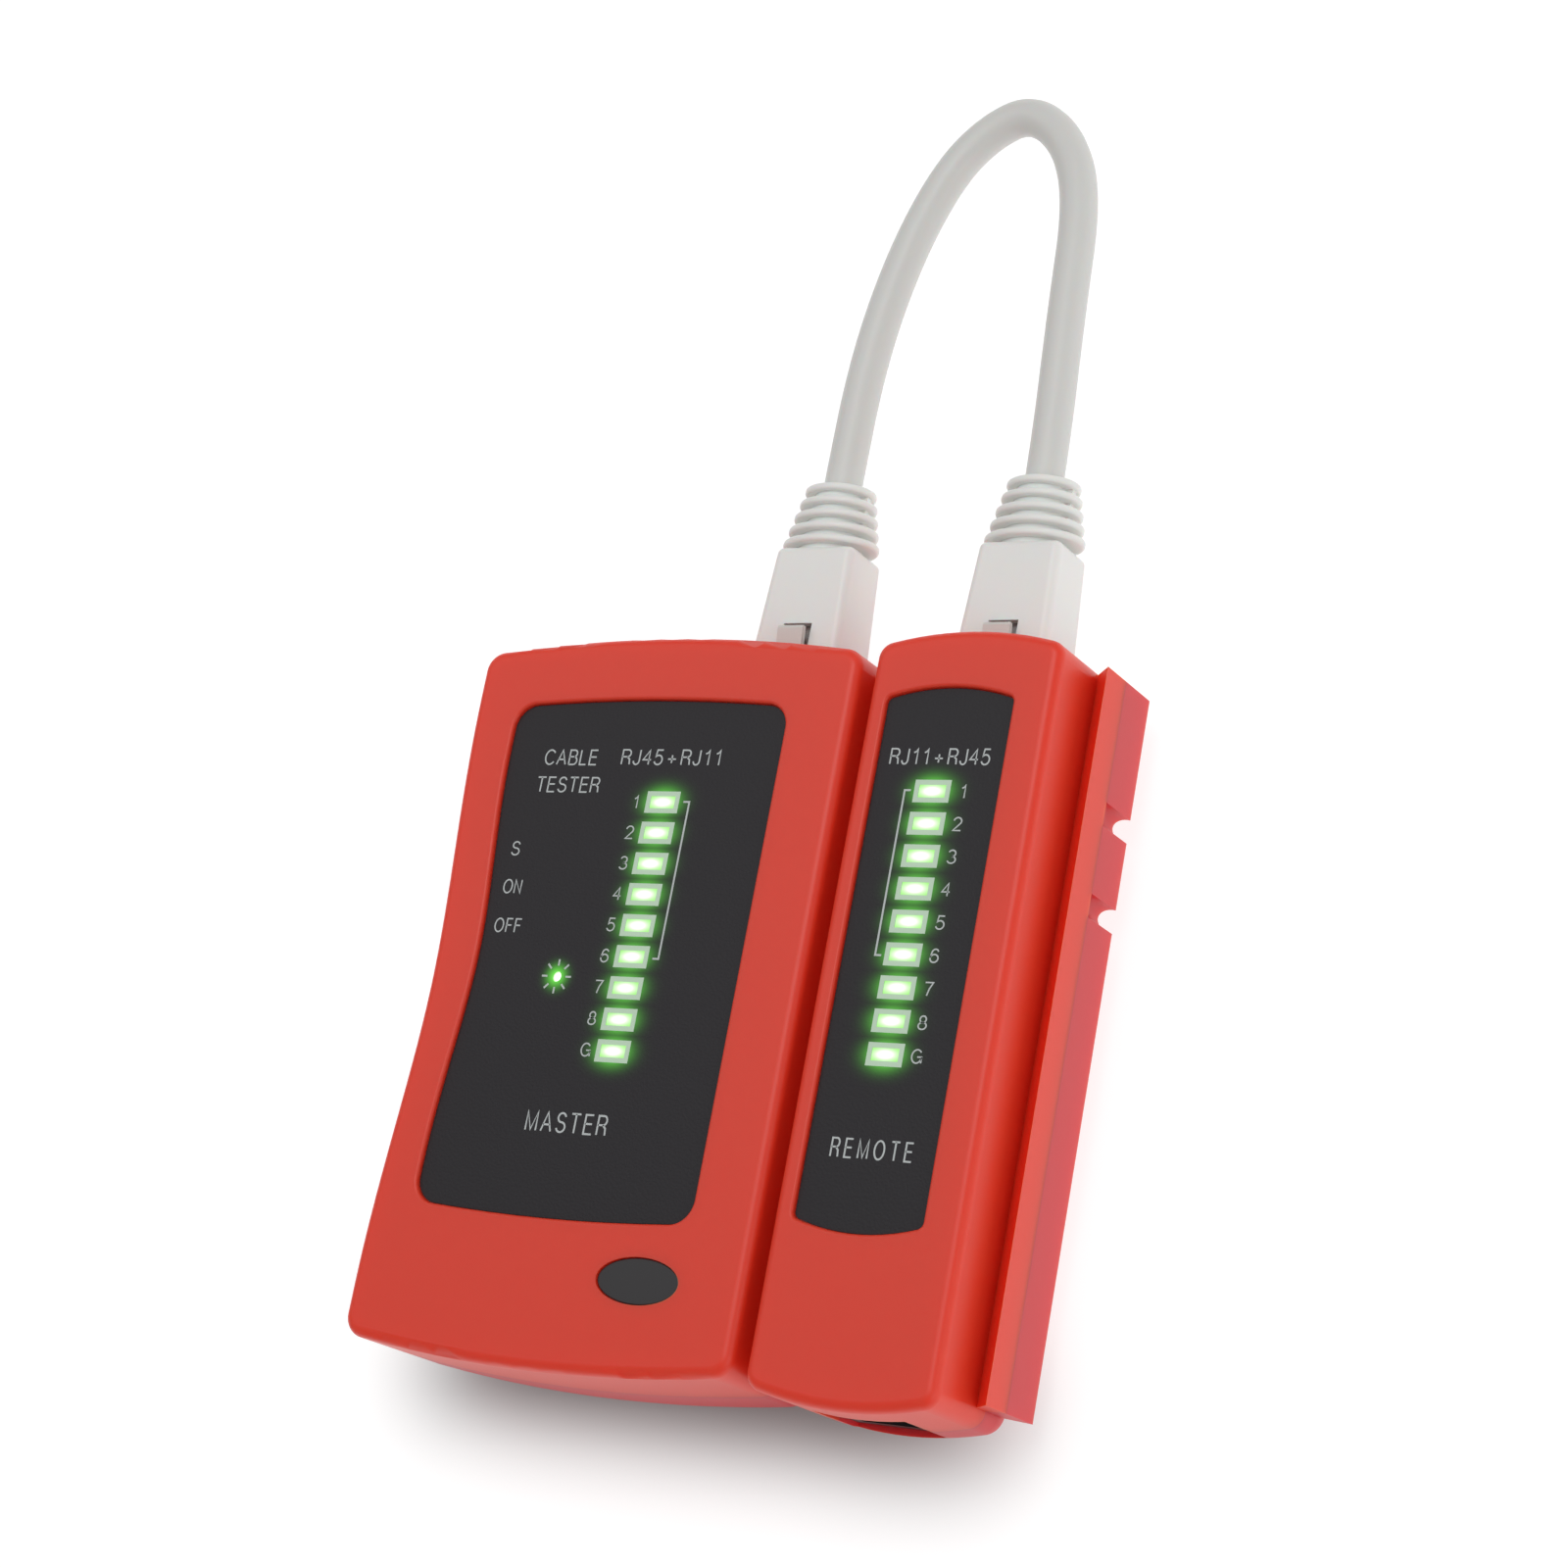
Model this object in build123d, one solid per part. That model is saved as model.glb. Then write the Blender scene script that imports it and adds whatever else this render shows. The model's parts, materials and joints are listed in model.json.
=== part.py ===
from build123d import *
import math
import os

# Network cable tester. It lies on its back: +Z is out of the front face, +Y is towards the
# 8-way sockets, +X is from the main unit towards the remote unit. Millimetres throughout.
# The origin is the centre of the tester's underside.

# ---------------------------------------------------------------- driving dimensions
DEPTH = 26.0
PARTING_Z = 12.6
WALL = 2.0
FLOOR = 1.8
GAP = 0.3
FRONT_EDGE_RADIUS = 1.4

MASTER_X = (-47.35, 14.55)
MASTER_LENGTH = 102.0
MASTER_RISE = 2.1
MASTER_WAIST = 2.05
MASTER_BACK_Z = 0.0
MASTER_BACK_RADIUS = 6.0
REMOTE_X = (16.85, 44.45)
REMOTE_LENGTH = 103.0
REMOTE_RISE = 1.9
REMOTE_BACK_Z = 2.0
REMOTE_BACK_RADIUS = 7.0
REMOTE_MID_X = sum(REMOTE_X) / 2

LABEL_TOP_Z = 25.3
LABEL_THICKNESS = 0.35
CAVITY_TOP_Z = 23.4
RECESS_FLOOR_Z = LABEL_TOP_Z - LABEL_THICKNESS

BOARD_Z = (19.6, 21.2)
LED_SIZE = (5.0, 2.5)
LED_WINDOW = (3.95, 1.75)
LED_NAMES = ("1", "2", "3", "4", "5", "6", "7", "8", "g")
MASTER_LED_X = -12.85
MASTER_LED_FIRST_Y = 27.1
MASTER_LED_PITCH = 4.37
REMOTE_LED_X = 28.67
REMOTE_LED_FIRST_Y = 29.2
REMOTE_LED_PITCH = 4.417
POWER_LED_AT = (-24.4, 2.05)

RAIL_DEPTH = 2.9
RAIL_FACE_Z = (5.1, 18.2)
RAIL_ROOT_Z = (7.9, 15.1)
RAIL_Y = (-47.7, 49.0)
DETENT_Y = (30.65, 18.25)
DETENT_RADIUS = 1.6

PLUG_Z = 13.1
MASTER_PORT_X = -1.65
REMOTE_PORT_X = REMOTE_MID_X - 0.2
PORT_FACE_Y = 50.4
JACK_LENGTH = 17.5
JACK_8_WIDTH = 15.2
JACK_6_WIDTH = 13.2
JACK_Z = (7.8, BOARD_Z[0])
PLUG_WIDTH = 11.7
PLUG_HEIGHT = 6.6
PLUG_Y = (38.0, 59.5)
MASTER_PHONE_PORT_X = -20.0

SWITCH_Y = 14.5
SWITCH_THROW = 4.0
SWITCH_Z = 13.6
KNOB_LENGTH = 6.0
KNOB_HEIGHT = 3.4

BATTERY_X = (-32.5, -6.0)
BATTERY_Y = (-45.4, 0.6)
BATTERY_Z = (1.9, 19.4)
DOOR_Y_TOP = 5.0
DOOR_TONGUE = 1.0

CABLE_DIAMETER = 5.4
BOOT_BASE = (13.9, 9.6)
BOOT_SHOULDER = (12.4, 8.8)
BOOT_Y = (51.9, 67.6)
RING_PITCH = 2.0
RING_THICKNESS = 1.05
RINGS = 5

# The patch cable's route, end to end: up out of the main unit's boot, over, and down into the
# remote's. Its fold at the top right is as tight as a short cord held this way makes it.
CABLE_ROUTE = (
    (MASTER_PORT_X, 59.6, 13.1),
    (MASTER_PORT_X, 79.0, 13.1),
    (-1.5, 98.0, 12.9),
    (1.1, 114.3, 12.5),
    (5.6, 127.0, 12.1),
    (10.9, 133.4, 11.8),
    (17.2, 136.2, 11.6),
    (23.9, 131.1, 11.6),
    (27.9, 121.3, 11.9),
    (28.9, 103.0, 12.6),
    (REMOTE_PORT_X, 80.0, 13.1),
    (REMOTE_PORT_X, 59.6, 13.1),
)
RUN_SHARE = 0.45

SCREW_SHANK_RADIUS = 1.3
SCREW_HEAD_RADIUS = 2.4
COUNTERBORE_TOP_Z = 7.5
BOSS_RADIUS = 2.8
POST_RADIUS = 3.5
MASTER_SCREWS = ((-42.0, 43.5), (9.6, 43.5), (-41.0, -43.0), (8.5, -43.0))
REMOTE_SCREWS = ((38.0, 22.0), (38.0, -24.0))
MASTER_BOARD_SCREWS = ((-36.5, 33.0), (5.0, -8.0))
REMOTE_BOARD_SCREWS = ((22.6, -16.0), (38.6, 13.0))


# ---------------------------------------------------------------- helpers
def block(x, y, z):
    """Box between (low, high) pairs."""
    middle = [(low + high) / 2 for low, high in (x, y, z)]
    return Pos(*middle) * Box(x[1] - x[0], y[1] - y[0], z[1] - z[0])


def centred(x, y, size_x, size_y, z):
    """Box centred on a point in plan, between two heights."""
    return block((x - size_x / 2, x + size_x / 2), (y - size_y / 2, y + size_y / 2), z)


def post(x, y, z, radius):
    """Upright cylinder between two heights."""
    return Pos(x, y, (z[0] + z[1]) / 2) * Cylinder(radius, z[1] - z[0])


def rod_y(x, y, z, radius):
    """Cylinder along Y between two stations."""
    return Pos(x, (y[0] + y[1]) / 2, z) * Rot(90, 0, 0) * Cylinder(radius, y[1] - y[0])


def prism(face, z):
    """Plan face extruded between two heights."""
    return Pos(0, 0, z[0]) * extrude(face, amount=z[1] - z[0])


def section_along_y(points, y):
    """Polygon of (x, z) points extruded between two stations along Y."""
    face = Plane.XZ * make_face(Polyline(*points, close=True))
    return Pos(0, y[1], 0) * extrude(face, amount=y[1] - y[0])


def arched_outline(x, y, rise, corner, waist=0.0):
    """Plan outline with bowed ends, rounded corners and, if asked, a waisted left side."""
    left, right = x
    bottom, top = y
    middle = (left + right) / 2
    shoulder_top = top - rise
    shoulder_bottom = bottom + rise
    side_end = 0.86 * shoulder_top
    side_start = 0.86 * shoulder_bottom
    edges = ThreePointArc((left, shoulder_top), (middle, top), (right, shoulder_top))
    edges += Line((right, shoulder_top), (right, shoulder_bottom))
    edges += ThreePointArc((right, shoulder_bottom), (middle, bottom), (left, shoulder_bottom))
    if waist:
        edges += Line((left, shoulder_bottom), (left, side_start))
        pinch = (left + waist, (side_start + side_end) / 2)
        upright = ((0, 1), (0, 1))
        edges += Spline((left, side_start), pinch, (left, side_end), tangents=upright)
        edges += Line((left, side_end), (left, shoulder_top))
    else:
        edges += Line((left, shoulder_bottom), (left, shoulder_top))
    face = make_face(edges)
    corners = [v for v in face.vertices() if not side_start - 0.1 < v.Y < side_end + 0.1]
    return fillet(corners, corner)


def master_outline(inset=0.0):
    x = (MASTER_X[0] + inset, MASTER_X[1] - inset)
    half = MASTER_LENGTH / 2 - inset
    return arched_outline(x, (-half, half), MASTER_RISE, 3.0 - inset * 0.8, MASTER_WAIST)


def remote_outline(inset=0.0):
    x = (REMOTE_X[0] + inset, REMOTE_X[1] - inset)
    half = REMOTE_LENGTH / 2 - inset
    return arched_outline(x, (-half, half), REMOTE_RISE, 2.4 - inset * 0.8)


def master_label_outline(grow=0.0):
    x = (-39.95 - grow, 4.6 + grow)
    return arched_outline(x, (-30.9 - grow, 41.7 + grow), 0.9, 3.4 + grow, 1.9)


def remote_label_outline(grow=0.0):
    x = (19.75 - grow, 38.5 + grow)
    return arched_outline(x, (-29.3 - grow, 43.4 + grow), 1.5, 0.9 + grow)


def badge_outline(grow=0.0):
    return Pos(-1.6, -38.1) * Ellipse(6.3 + grow, 3.05 + grow)


def edges_at(solid, z):
    """Edges that lie wholly at one height."""
    return [e for e in solid.edges() if all(abs(v.Z - z) < 1e-4 for v in e.vertices())]


def led_places(x, first_y, pitch):
    return [(x, first_y - pitch * index) for index in range(len(LED_NAMES))]


MASTER_LEDS = led_places(MASTER_LED_X, MASTER_LED_FIRST_Y, MASTER_LED_PITCH)
REMOTE_LEDS = led_places(REMOTE_LED_X, REMOTE_LED_FIRST_Y, REMOTE_LED_PITCH)


# ---------------------------------------------------------------- rail and its channel
def rail(wall_x, z):
    """The part of the dovetail rail between two heights, fused 1 mm into its wall."""
    face_x = wall_x + RAIL_DEPTH
    root = wall_x - 1.0
    points = (
        (root, RAIL_ROOT_Z[0]),
        (wall_x, RAIL_ROOT_Z[0]),
        (face_x, RAIL_FACE_Z[0]),
        (face_x, RAIL_FACE_Z[1]),
        (wall_x, RAIL_ROOT_Z[1]),
        (root, RAIL_ROOT_Z[1]),
    )
    whole = section_along_y(points, RAIL_Y)
    return whole & block((root - 1, face_x + 1), (-60, 60), z)


def detents(wall_x):
    """The two half-round click grooves across the rear half of a rail's face."""
    face_x = wall_x + RAIL_DEPTH
    return [post(face_x, y, (0, PARTING_Z), DETENT_RADIUS) for y in DETENT_Y]


def channel_cut():
    """Shallow recess in the remote's left wall that the rail's face runs in."""
    face_x = MASTER_X[1] + RAIL_DEPTH
    z = (RAIL_FACE_Z[0] - GAP, RAIL_FACE_Z[1] + GAP)
    return block((REMOTE_X[0] - 5, face_x + GAP), (RAIL_Y[0] - GAP, 60), z)


def channel_lip(front):
    """One hooked lip on the remote's left side, behind the rail's front or rear flank."""
    wall_x = MASTER_X[1]
    sign = 1 if front else -1
    index = 1 if front else 0
    shift = GAP * math.sqrt(2)
    root = RAIL_ROOT_Z[index] + sign * shift
    tip = RAIL_FACE_Z[index] + sign * shift
    back = RAIL_FACE_Z[index] + sign * 2.6
    inner_x = REMOTE_X[0] + (1.0 if front else 5.0)
    points = (
        (wall_x + GAP, root + sign * GAP),
        (wall_x + GAP, back - sign * 0.6),
        (wall_x + GAP + 0.6, back),
        (inner_x, back),
        (inner_x, tip),
        (wall_x + RAIL_DEPTH, tip),
    )
    return section_along_y(points, (-49.0, 47.0))


def channel_stop():
    """Web that closes the channel's bottom end, where the rail comes to rest."""
    z = (RAIL_FACE_Z[0] - 1.0, RAIL_FACE_Z[1] + 1.0)
    return block((MASTER_X[1] + GAP, REMOTE_X[0] + 1.0), (-49.0, RAIL_Y[0] - GAP), z)


# ---------------------------------------------------------------- shells
def tongue(outline, z):
    """Locating rim that stands on the rear shell inside the front shell's wall."""
    return prism(outline(WALL - 0.85), z) - prism(outline(WALL), z)


def front_shell(outline, label_outline, leds, screws):
    """Open tray from the parting line to the front face, before its unit's own details."""
    shell = prism(outline(), (PARTING_Z, DEPTH))
    shell = fillet(edges_at(shell, DEPTH), FRONT_EDGE_RADIUS)
    shell -= prism(outline(WALL), (PARTING_Z, CAVITY_TOP_Z))
    shell -= prism(outline(WALL - 0.95), (PARTING_Z, PARTING_Z + 1.15))
    shell -= prism(label_outline(0.12), (RECESS_FLOOR_Z, DEPTH))
    shell = fillet(rim_edges(shell, label_outline), 0.45)
    for x, y in leds:
        shell -= centred(x, y, LED_SIZE[0] + 0.3, LED_SIZE[1] + 0.3, (CAVITY_TOP_Z - 1, DEPTH))
    for x, y in screws:
        shell += post(x, y, (PARTING_Z + 0.05, CAVITY_TOP_Z + 0.5), BOSS_RADIUS)
        shell -= post(x, y, (PARTING_Z, 21.0), SCREW_SHANK_RADIUS + 0.02)
    return shell


def rim_edges(shell, label_outline):
    """Front-face edges around the label's pocket."""
    box = label_outline(0.3).bounding_box()
    inside = []
    for edge in edges_at(shell, DEPTH):
        middle = edge.center()
        if box.min.X < middle.X < box.max.X and box.min.Y < middle.Y < box.max.Y:
            inside.append(edge)
    return inside


def rounded_tray(outline, inset, low, radius):
    """Solid from a height up to the parting line, with its lower edge rounded."""
    solid = prism(outline(inset), (low, PARTING_Z))
    return fillet(edges_at(solid, low), radius)


def rear_shell(outline, back_z, back_radius, screws):
    """Open tray from the back face to the parting line, before its unit's own details."""
    outside = rounded_tray(outline, 0.0, back_z, back_radius)
    shell = outside - rounded_tray(outline, WALL, back_z + FLOOR, back_radius - WALL)
    shell += tongue(outline, (PARTING_Z - 0.5, PARTING_Z + 1.0))
    for x, y in screws:
        shell += post(x, y, (back_z, PARTING_Z), POST_RADIUS) & outside
        shell -= post(x, y, (back_z - 1, COUNTERBORE_TOP_Z), SCREW_HEAD_RADIUS + 0.2)
        shell -= post(x, y, (back_z, PARTING_Z + 2), SCREW_SHANK_RADIUS + 0.15)
    return shell


def jack_opening(x, width, y):
    """Cut through an end wall for a jack's nose."""
    z = (JACK_Z[0] - 0.15, JACK_Z[1] + 0.15)
    return centred(x, (y[0] + y[1]) / 2, width + 0.3, y[1] - y[0], z)


def master_openings():
    top = (46.0, 60.0)
    cuts = [jack_opening(MASTER_PORT_X, JACK_8_WIDTH, top)]
    cuts.append(jack_opening(MASTER_PHONE_PORT_X, JACK_6_WIDTH, top))
    half = SWITCH_THROW + KNOB_LENGTH / 2 + GAP
    z = (SWITCH_Z - KNOB_HEIGHT / 2 - 0.25, SWITCH_Z + KNOB_HEIGHT / 2 + 0.25)
    cuts.append(block((-60, -41), (SWITCH_Y - half, SWITCH_Y + half), z))
    return cuts


def remote_openings():
    cuts = [jack_opening(REMOTE_PORT_X, JACK_8_WIDTH, (46.0, 60.0))]
    cuts.append(jack_opening(REMOTE_MID_X, JACK_6_WIDTH, (-60.0, -46.0)))
    return cuts


def cut_all(solid, cutters):
    for cutter in cutters:
        solid -= cutter
    return solid


def board_screw_bosses(shell, places):
    for x, y in places:
        shell += post(x, y, (BOARD_Z[1] + 0.05, CAVITY_TOP_Z + 0.5), 2.4)
        shell -= post(x, y, (BOARD_Z[1], CAVITY_TOP_Z + 0.4), 0.82)
    return shell


def master_front_shell():
    shell = front_shell(master_outline, master_label_outline, MASTER_LEDS, MASTER_SCREWS)
    shell = board_screw_bosses(shell, MASTER_BOARD_SCREWS)
    shell += rail(MASTER_X[1], (PARTING_Z, DEPTH))
    shell -= prism(badge_outline(0.1), (DEPTH - 0.75, DEPTH))
    shell -= post(*POWER_LED_AT, (CAVITY_TOP_Z - 1, DEPTH), 1.7)
    return cut_all(shell, master_openings())


def door_cuts():
    """Opening in the back wall and the two grooves that the battery door slides in."""
    low, high = BATTERY_X[0] - 1.2, BATTERY_X[1] + 1.2
    y = (-60, DOOR_Y_TOP + 0.2)
    cuts = [block((low - 0.2, high + 0.2), y, (-1, FLOOR + 0.15))]
    grooves = (low - DOOR_TONGUE - 0.2, high + DOOR_TONGUE + 0.2)
    cuts.append(block(grooves, y, (FLOOR / 2 - 0.1, FLOOR + 0.15)))
    return cuts


def door_ledges():
    """Ledges inside the shell that the door's tongues run under, and the battery's side ribs."""
    low, high = BATTERY_X[0] - 1.2, BATTERY_X[1] + 1.2
    y = (-49.2, DOOR_Y_TOP + 2.0)
    pieces = [block((low - 2.6, low + 0.6), y, (FLOOR / 2 - 0.1, FLOOR + 1.4))]
    pieces.append(block((high - 0.6, high + 2.6), y, (FLOOR / 2 - 0.1, FLOOR + 1.4)))
    pieces.append(block((low - 1.4, low), (-49.2, 3.0), (FLOOR, 11.0)))
    pieces.append(block((high, high + 1.4), (-49.2, 3.0), (FLOOR, 11.0)))
    end_wall = (DOOR_Y_TOP + 0.6, DOOR_Y_TOP + 2.0)
    pieces.append(block((low - 1.4, high + 1.4), end_wall, (FLOOR - 0.2, 9.0)))
    return pieces


def master_rear_shell():
    shell = rear_shell(master_outline, MASTER_BACK_Z, MASTER_BACK_RADIUS, MASTER_SCREWS)
    for piece in door_ledges():
        shell += piece
    shell = cut_all(shell, door_cuts())
    shell += rail(MASTER_X[1], (0, PARTING_Z))
    shell = cut_all(shell, detents(MASTER_X[1]))
    return cut_all(shell, master_openings())


def battery_door():
    """Sliding cover: its outer end follows the shell's rounded end, and it has grip ridges."""
    low, high = BATTERY_X[0] - 1.2, BATTERY_X[1] + 1.2
    plate = block((low, high), (-60, DOOR_Y_TOP), (0, FLOOR))
    plate += block((low - DOOR_TONGUE, high + DOOR_TONGUE), (-48.4, DOOR_Y_TOP), (FLOOR / 2 + 0.05, FLOOR))
    door = plate & rounded_tray(master_outline, 0.0, MASTER_BACK_Z, MASTER_BACK_RADIUS)
    for index in range(5):
        y = -38.0 - 1.8 * index
        door -= centred((low + high) / 2, y, 16.0, 0.8, (-1, 0.45))
    return door


def remote_front_shell():
    shell = front_shell(remote_outline, remote_label_outline, REMOTE_LEDS, REMOTE_SCREWS)
    shell = board_screw_bosses(shell, REMOTE_BOARD_SCREWS)
    front_half = block((0, 80), (-60, 60), (PARTING_Z, DEPTH))
    shell += rail(REMOTE_X[1], (PARTING_Z, DEPTH))
    shell -= channel_cut()
    shell += channel_lip(True)
    shell += channel_stop() & front_half
    return cut_all(shell, remote_openings())


def remote_rear_shell():
    shell = rear_shell(remote_outline, REMOTE_BACK_Z, REMOTE_BACK_RADIUS, REMOTE_SCREWS)
    rear_half = block((0, 80), (-60, 60), (0, PARTING_Z))
    shell += rail(REMOTE_X[1], (0, PARTING_Z))
    shell = cut_all(shell, detents(REMOTE_X[1]))
    shell -= channel_cut()
    shell += channel_lip(False)
    shell += channel_stop() & rear_half
    return cut_all(shell, remote_openings())


# ---------------------------------------------------------------- labels
def label(outline, leds):
    sheet = prism(outline(), (RECESS_FLOOR_Z, LABEL_TOP_Z))
    for x, y in leds:
        sheet -= centred(x, y, *LED_WINDOW, (RECESS_FLOOR_Z - 1, DEPTH))
    return sheet


def master_label():
    return label(master_label_outline, MASTER_LEDS) - post(*POWER_LED_AT, (20, DEPTH), 0.75)


def remote_label():
    return label(remote_label_outline, REMOTE_LEDS)


def master_badge():
    plate = prism(badge_outline(), (DEPTH - 0.75, DEPTH - 0.3))
    return fillet(edges_at(plate, DEPTH - 0.3), 0.15)


# ---------------------------------------------------------------- boards and what is on them
def circuit_board(x, y, screws, clear):
    board = block(x, y, BOARD_Z)
    for place in screws:
        board -= post(*place, (0, DEPTH), 1.1)
    for place in clear:
        board -= post(*place, (0, DEPTH), BOSS_RADIUS + 0.4)
    return board


def led(x, y):
    """Flat-topped rectangular LED with its two legs down to the board."""
    body = centred(x, y, *LED_SIZE, (BOARD_Z[1] + 0.6, RECESS_FLOOR_Z - 0.05))
    body = fillet(body.edges().filter_by(Axis.Z), 0.3)
    for side in (-1, 1):
        body += centred(x + side * 1.27, y, 0.5, 0.5, (BOARD_Z[1], BOARD_Z[1] + 0.7))
    return body


def power_led():
    x, y = POWER_LED_AT
    body = post(x, y, (BOARD_Z[1] + 0.6, RECESS_FLOOR_Z - 0.05), 1.5)
    for side in (-1, 1):
        body += centred(x + side * 0.9, y, 0.5, 0.5, (BOARD_Z[1], BOARD_Z[1] + 0.7))
    return body


def jack_8(x):
    """8-way jack housing: plug chamber, latch keyway on the board side, contact bay behind."""
    face_y = PORT_FACE_Y
    back_y = face_y - JACK_LENGTH
    half = PLUG_WIDTH / 2 + GAP
    plug_z = (PLUG_Z - PLUG_HEIGHT / 2 - GAP, PLUG_Z + PLUG_HEIGHT / 2 + GAP)
    housing = centred(x, (face_y + back_y) / 2, JACK_8_WIDTH, JACK_LENGTH, JACK_Z)
    housing -= block((x - half, x + half), (back_y + 2.0, 60), plug_z)
    housing -= block((x - 3.4, x + 3.4), (back_y + 2.0, 60), (plug_z[1] - 0.1, JACK_Z[1] - 0.4))
    housing -= block((x - 4.3, x + 4.3), (back_y + 1.0, face_y - 3.0), (JACK_Z[0] + 0.6, plug_z[0] + 0.1))
    return housing


def jack_6(x, face_y, side):
    """6-way jack housing. side is +1 when it opens towards +Y and -1 when towards -Y."""
    back_y = face_y - side * JACK_LENGTH
    inner_y = back_y + side * 2.0
    y = sorted((face_y, back_y))
    chamber = sorted((inner_y, face_y + side * 5))
    bay = sorted((inner_y - side, face_y - side * 3))
    housing = block((x - JACK_6_WIDTH / 2, x + JACK_6_WIDTH / 2), y, JACK_Z)
    housing -= block((x - 5.0, x + 5.0), chamber, (PLUG_Z - 3.5, PLUG_Z + 3.5))
    housing -= block((x - 3.1, x + 3.1), chamber, (PLUG_Z + 3.4, JACK_Z[1] - 0.7))
    housing -= block((x - 3.3, x + 3.3), bay, (JACK_Z[0] + 0.6, PLUG_Z - 3.4))
    return housing


def jack_contacts(x, face_y, side, count):
    """Spring wires along the bay's floor, each bent up behind the jack to the board."""
    back_y = face_y - side * JACK_LENGTH
    wires = []
    for index in range(count):
        wire_x = x + (index - (count - 1) / 2) * 1.02
        along = sorted((back_y - side * 0.5, face_y - side * 4.5))
        flat_z = (JACK_Z[0] + 0.75, JACK_Z[0] + 1.15)
        wire = centred(wire_x, sum(along) / 2, 0.4, along[1] - along[0], flat_z)
        riser = sorted((back_y - side * 0.1, back_y - side * 0.5))
        wire += centred(wire_x, sum(riser) / 2, 0.4, 0.4, (JACK_Z[0] + 0.75, BOARD_Z[0]))
        wires.append(wire)
    return wires


def wire_slots(x, face_y, side, count):
    """Holes through a jack's back wall for its contacts."""
    back_y = face_y - side * JACK_LENGTH
    y = sorted((back_y - side, back_y + side * 3))
    slots = []
    for index in range(count):
        wire_x = x + (index - (count - 1) / 2) * 1.02
        slots.append(centred(wire_x, sum(y) / 2, 0.5, y[1] - y[0], (JACK_Z[0] + 0.7, JACK_Z[0] + 1.2)))
    return slots


def dip_chip(x, y, length, pins):
    """Dual-in-line chip hanging under the board, long side along Y."""
    underside = BOARD_Z[0]
    body = centred(x, y, 6.4, length, (underside - 4.0, underside - 0.5))
    for side in (-1, 1):
        for index in range(pins // 2):
            pin_y = y + (index - (pins // 2 - 1) / 2) * 2.54
            body += centred(x + side * 3.6, pin_y, 0.9, 1.2, (underside - 2.4, underside - 2.0))
            body += centred(x + side * 3.9, pin_y, 0.35, 0.6, (underside - 2.4, underside))
    notch = post(x, y + length / 2, (underside - 4.1, underside - 3.4), 1.0)
    return body - notch


def axial_parts(places, radius, length):
    """Small wire-ended parts lying under the board, each along X."""
    solids = []
    for x, y in places:
        z = BOARD_Z[0] - radius - 0.3
        part = Pos(x, y, z) * Rot(0, 90, 0) * Cylinder(radius, length)
        part += Pos(x, y, z) * Rot(0, 90, 0) * Cylinder(0.3, length + 2.6)
        for side in (-1, 1):
            part += centred(x + side * (length / 2 + 1.0), y, 0.7, 0.7, (z - 0.35, BOARD_Z[0]))
        solids.append(part)
    return solids


def screws(places, head_z, tip_z, head_radius, shank_radius, head_height=1.9):
    """Pan-head screws driven towards the front, each with a cross recess."""
    solids = []
    for x, y in places:
        screw = post(x, y, (head_z - head_height, head_z), head_radius)
        screw = fillet(edges_at(screw, head_z - head_height), 0.5)
        screw += post(x, y, (head_z, tip_z), shank_radius)
        for turn in (0, 90):
            slot = Rot(0, 0, turn) * Box(head_radius * 1.2, 0.6, 1.6)
            screw -= Pos(x, y, head_z - head_height) * slot
        solids.append(screw)
    return solids


# ---------------------------------------------------------------- switch
def power_switch_frame():
    """Slide switch body under the board's left edge, open towards the side wall."""
    x = (-43.0, -37.6)
    half = SWITCH_THROW + 5.0
    y = (SWITCH_Y - half, SWITCH_Y + half)
    frame = block(x, y, (SWITCH_Z - 3.3, SWITCH_Z + 3.3))
    slot = SWITCH_THROW + 1.8 + GAP
    travel = (SWITCH_Y - slot, SWITCH_Y + slot)
    frame -= block((x[0] - 1, x[0] + 2.6), travel, (SWITCH_Z - 1.7, SWITCH_Z + 1.7))
    for index in range(4):
        pin_y = SWITCH_Y + (index - 1.5) * 3.0
        frame += centred(-40.0, pin_y, 0.6, 1.0, (SWITCH_Z + 3.2, BOARD_Z[0]))
    return frame


def power_switch_knob():
    """Ridged knob in the side wall's slot, with the stem that reaches into the switch."""
    y = (SWITCH_Y - KNOB_LENGTH / 2, SWITCH_Y + KNOB_LENGTH / 2)
    z = (SWITCH_Z - KNOB_HEIGHT / 2, SWITCH_Z + KNOB_HEIGHT / 2)
    knob = block((-47.2, -43.4), y, z)
    knob = fillet(knob.edges().filter_by(Axis.Z).group_by(Axis.X)[0], 0.5)
    for index in range(4):
        groove_y = SWITCH_Y + (index - 1.5) * 1.3
        knob -= centred(-47.2, groove_y, 0.9, 0.55, (z[0] - 1, z[1] + 1))
    knob += block((-43.5, -40.9), (SWITCH_Y - 1.8, SWITCH_Y + 1.8), (SWITCH_Z - 1.2, SWITCH_Z + 1.2))
    return knob


# ---------------------------------------------------------------- battery
def battery():
    """9 V block with its two snap terminals at the top end."""
    body = block(BATTERY_X, BATTERY_Y, BATTERY_Z)
    body = fillet(body.edges().filter_by(Axis.Y), 2.2)
    middle_x = sum(BATTERY_X) / 2
    middle_z = sum(BATTERY_Z) / 2
    for side, radius in ((-1, 2.8), (1, 3.8)):
        body += rod_y(middle_x + side * 6.35, (BATTERY_Y[1] - 0.2, BATTERY_Y[1] + 2.6), middle_z, radius)
    return body


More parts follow.
